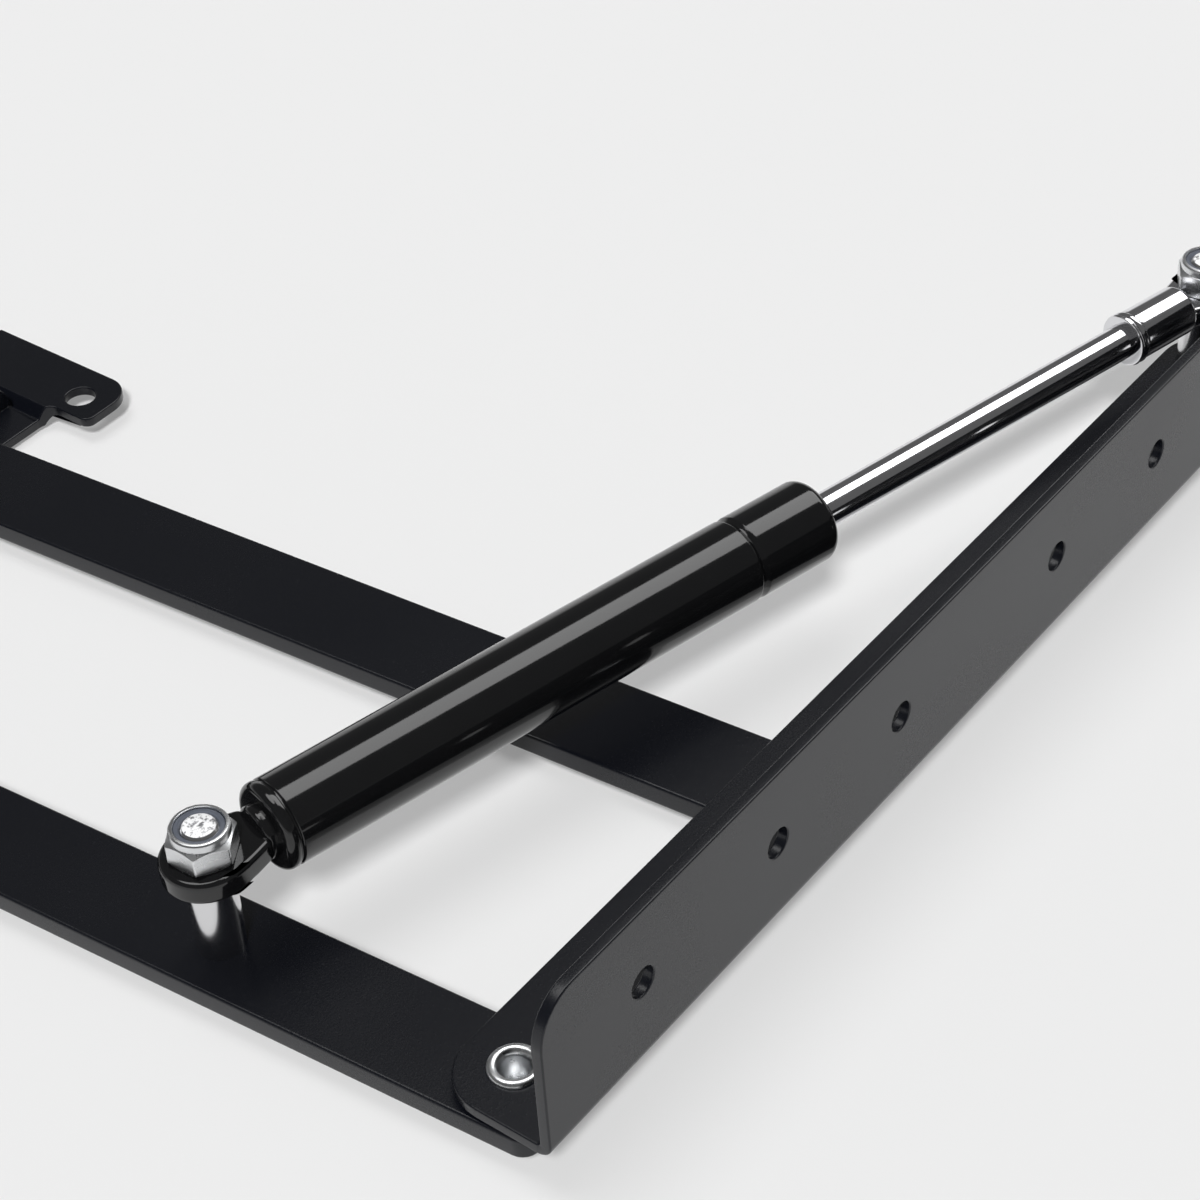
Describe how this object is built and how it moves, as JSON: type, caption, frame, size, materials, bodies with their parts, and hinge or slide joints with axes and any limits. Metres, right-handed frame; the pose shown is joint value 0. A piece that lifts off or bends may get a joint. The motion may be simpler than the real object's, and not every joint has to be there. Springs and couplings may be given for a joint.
{
  "type": "lift top table mechanism",
  "caption": "Gas-assisted parallel linkage for a lifting tabletop: two L rails joined by flat pivoting arms, with a gas spring from an arm to the lower rail.",
  "frame": {"origin": "on the base rail's screw face, at the centre of its row of six screw holes", "axes": "+X along the base rail towards its gas spring stud, +Y from the base rail towards the top rail (up in use), +Z along the pivots (up as it lies)"},
  "size_m": [0.3532, 0.2289, 0.0388],
  "materials": {
    "powder_black": "satin black powder coat on steel sheet and bar, fine speckle, paler where an edge is thin",
    "washer_black": "satin black coat on the plain washers, worn at the rim",
    "zinc": "bright zinc plate with fine turning marks",
    "chrome": "hard chrome, polished, with faint turned lines",
    "gloss_black": "glossy black lacquer",
    "nylon": "natural nylon, slightly translucent",
    "rubber": "black nitrile rubber, oiled",
    "brass": "turned brass"
  },
  "bodies": {
    "base": {"base_rail": "powder_black", "base_pivot_rivets": "zinc", "base_slip_washers": "zinc", "base_plain_washers": "washer_black", "rail_stud": "chrome"},
    "front_arm": {"front_arm": "powder_black", "arm_stud": "chrome", "arm_stud_nut": "zinc", "arm_nut_insert": "nylon"},
    "rear_arm": {"rear_arm": "powder_black"},
    "top_rail": {"top_rail": "powder_black", "top_pivot_rivets": "zinc", "top_slip_washers": "zinc", "top_plain_washers": "washer_black"},
    "spring_tube": {"spring_tube": "gloss_black", "tube_eye": "gloss_black", "rod_guide": "brass", "seal_washer": "zinc", "rod_seal": "rubber"},
    "rod": {"piston_rod": "chrome", "piston": "zinc", "piston_ring": "rubber", "rod_lock_ring": "chrome", "rod_eye": "chrome", "rail_stud_tip": "chrome", "rail_stud_nut": "zinc", "rail_nut_insert": "nylon"}
  },
  "joints": [
    {"name": "lift", "type": "hinge", "parent": "base", "child": "front_arm", "pos_m": [-0.1055, 0.014, -0.0192], "axis": [0, 0, 1], "range_deg": [-74.5, 0]},
    {"name": "rear_arm_pivot", "type": "hinge", "parent": "base", "child": "rear_arm", "pos_m": [-0.033, 0.014, -0.0192], "axis": [0, 0, 1], "range_deg": [-74.5, 0]},
    {"name": "top_rail_pivot", "type": "hinge", "parent": "front_arm", "child": "top_rail", "pos_m": [-0.12066, 0.2066, -0.0192], "axis": [0, 0, 1], "range_deg": [0, 74.5]},
    {"name": "spring_pivot", "type": "hinge", "parent": "front_arm", "child": "spring_tube", "pos_m": [-0.10982, 0.06883, 0.0001], "axis": [0, 0, 1], "range_deg": [0, 82.29]},
    {"name": "rod_slide", "type": "slide", "parent": "spring_tube", "child": "rod", "axis": [0.9718, -0.2357, 0], "range_m": [-0.0615, 0]}
  ],
  "couplings": [
    {"joint": "rear_arm_pivot", "follows": "lift", "ratio": 1},
    {"joint": "top_rail_pivot", "follows": "lift", "ratio": -1},
    {"joint": "spring_pivot", "follows": "lift", "ratio": -1.1045},
    {"joint": "rod_slide", "follows": "lift", "m_per_rad": 0.047241}
  ]
}
